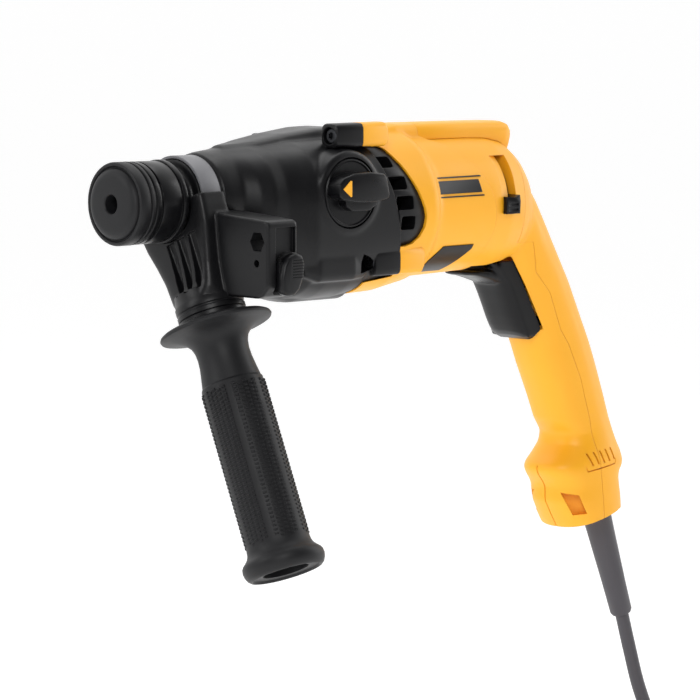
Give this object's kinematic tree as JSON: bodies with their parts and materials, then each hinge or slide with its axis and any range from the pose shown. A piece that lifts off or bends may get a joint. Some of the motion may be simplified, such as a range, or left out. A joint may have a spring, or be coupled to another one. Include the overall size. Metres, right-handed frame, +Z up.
{
  "type": "rotary hammer",
  "caption": "Corded pistol-grip rotary hammer with SDS-plus tool holder, turning side handle with depth stop, mode selector and mains lead.",
  "frame": {"origin": "middle of the pistol grip, where a hand or a rack holds the tool", "axes": "-X towards the nose along the spindle, +Z up, -Y is the side with the mode selector"},
  "size_m": [0.4875, 0.1417, 0.5015],
  "materials": {
    "black_nylon": "satin black glass-filled nylon",
    "black_rubber": "matt black rubber",
    "yellow_nylon": "satin yellow glass-filled nylon",
    "orange_plastic": "orange moulded plastic",
    "grey_band": "grey band steel",
    "steel": "ground steel",
    "dark_steel": "blackened steel",
    "brass": "nickel-free brass",
    "copper": "copper windings and segments",
    "carbon": "pressed carbon",
    "cord_rubber": "dark grey cord rubber",
    "aluminium": "cast aluminium"
  },
  "bodies": {
    "housing": {"gearbox_housing": "black_nylon", "vent_ring": "black_nylon", "motor_housing": "yellow_nylon", "handle_front_shell": "yellow_nylon", "handle_rear_cover": "yellow_nylon", "top_rail_cap": "yellow_nylon", "case_screw_upper_left": "dark_steel", "case_screw_upper_right": "dark_steel", "case_screw_lower_left": "dark_steel", "case_screw_lower_right": "dark_steel", "maker_plate_blank": "black_nylon", "rating_plate_blank": "grey_band", "spindle_front_bearing": "steel", "spindle_rear_bearing": "steel", "intermediate_front_bearing": "steel", "intermediate_rear_bearing": "steel", "front_motor_bearing": "steel", "rear_motor_bearing": "steel", "stator": "dark_steel", "switch_body": "black_nylon", "trigger_spring": "steel", "cord_boot": "cord_rubber", "mains_cord": "cord_rubber", "cord_coil": "cord_rubber", "mains_plug": "cord_rubber", "plug_pin_left": "brass", "plug_pin_right": "brass"},
    "spindle": {"tool_holder_spindle": "steel", "locking_ball": "steel", "spindle_gear": "dark_steel", "dust_cap": "black_rubber", "ball_retaining_ring": "steel", "sleeve_spring": "steel"},
    "sleeve": {"locking_sleeve": "black_nylon"},
    "impact_bolt": {"impact_bolt": "dark_steel"},
    "striker": {"striker": "dark_steel"},
    "piston": {"piston": "aluminium"},
    "wobble": {"wobble_ring": "steel"},
    "intermediate": {"intermediate_shaft": "dark_steel", "intermediate_gear": "steel"},
    "armature": {"armature_shaft": "steel", "armature_core": "copper", "commutator": "copper", "cooling_fan": "black_nylon"},
    "mode_dial": {"mode_selector": "black_nylon", "mode_pointer": "orange_plastic", "mode_eccentric_pin": "steel"},
    "trigger": {"trigger": "black_nylon"},
    "reversing": {"reversing_brush_ring": "black_nylon", "reversing_lever": "black_nylon", "reversing_guard": "orange_plastic", "brush_left": "carbon", "brush_right": "carbon"},
    "side_clamp": {"side_handle_clamp": "black_nylon", "clamp_band": "grey_band", "clamp_bolt": "steel", "depth_stop_spring": "steel"},
    "stop_button": {"depth_stop_button": "black_nylon"},
    "side_grip": {"side_grip": "black_rubber"}
  },
  "joints": [
    {"name": "spindle_spin", "type": "hinge", "parent": "housing", "child": "spindle", "pos_m": [-0.262, 0, 0.098], "axis": [1, 0, 0], "continuous": true},
    {"name": "sleeve_slide", "type": "slide", "parent": "spindle", "child": "sleeve", "axis": [1, 0, 0], "range_m": [0, 0.006], "stiffness_N_per_m": 2000, "springref_m": -0.004, "deforming": ["sleeve_spring"]},
    {"name": "impact_bolt_slide", "type": "slide", "parent": "spindle", "child": "impact_bolt", "axis": [1, 0, 0], "range_m": [0, 0.004]},
    {"name": "striker_slide", "type": "slide", "parent": "spindle", "child": "striker", "axis": [1, 0, 0], "range_m": [-0.004, 0.0012]},
    {"name": "wobble_swing", "type": "hinge", "parent": "housing", "child": "wobble", "pos_m": [-0.184, 0, 0.07175], "axis": [0, 1, 0], "range_deg": [-10, 10]},
    {"name": "piston_slide", "type": "slide", "parent": "housing", "child": "piston", "axis": [1, 0, 0], "range_m": [-0.0048, 0.0048]},
    {"name": "intermediate_spin", "type": "hinge", "parent": "housing", "child": "intermediate", "pos_m": [-0.202, 0, 0.07175], "axis": [1, 0, 0], "continuous": true},
    {"name": "armature_spin", "type": "hinge", "parent": "housing", "child": "armature", "pos_m": [-0.122, 0, 0.08855], "axis": [1, 0, 0], "continuous": true},
    {"name": "mode_turn", "type": "hinge", "parent": "housing", "child": "mode_dial", "pos_m": [-0.199, -0.04, 0.1], "axis": [0, 1, 0], "range_deg": [-90, 90]},
    {"name": "trigger_pull", "type": "slide", "parent": "housing", "child": "trigger", "axis": [0.9135, 0, 0.4067], "range_m": [0, 0.0055], "stiffness_N_per_m": 900, "springref_m": -0.003, "deforming": ["trigger_spring"]},
    {"name": "reversing_turn", "type": "hinge", "parent": "housing", "child": "reversing", "pos_m": [-0.076, 0, 0.08855], "axis": [-1, 0, 0], "range_deg": [0, 36]},
    {"name": "side_handle_turn", "type": "hinge", "parent": "housing", "child": "side_clamp", "pos_m": [-0.2825, 0, 0.098], "axis": [1, 0, 0], "continuous": true},
    {"name": "stop_button_press", "type": "slide", "parent": "side_clamp", "child": "stop_button", "axis": [0, 1, 0], "range_m": [0, 0.003], "stiffness_N_per_m": 600, "springref_m": -0.002, "deforming": ["depth_stop_spring"]},
    {"name": "side_grip_twist", "type": "hinge", "parent": "side_clamp", "child": "side_grip", "pos_m": [-0.2825, -0.04823, -0.01188], "axis": [0, -0.402, -0.9157], "continuous": true}
  ],
  "couplings": [
    {"joint": "intermediate_spin", "follows": "spindle_spin", "ratio": -2.5},
    {"joint": "armature_spin", "follows": "spindle_spin", "ratio": 12.5},
    {"joint": "piston_slide", "follows": "wobble_swing", "m_per_rad": 0.02625}
  ]
}
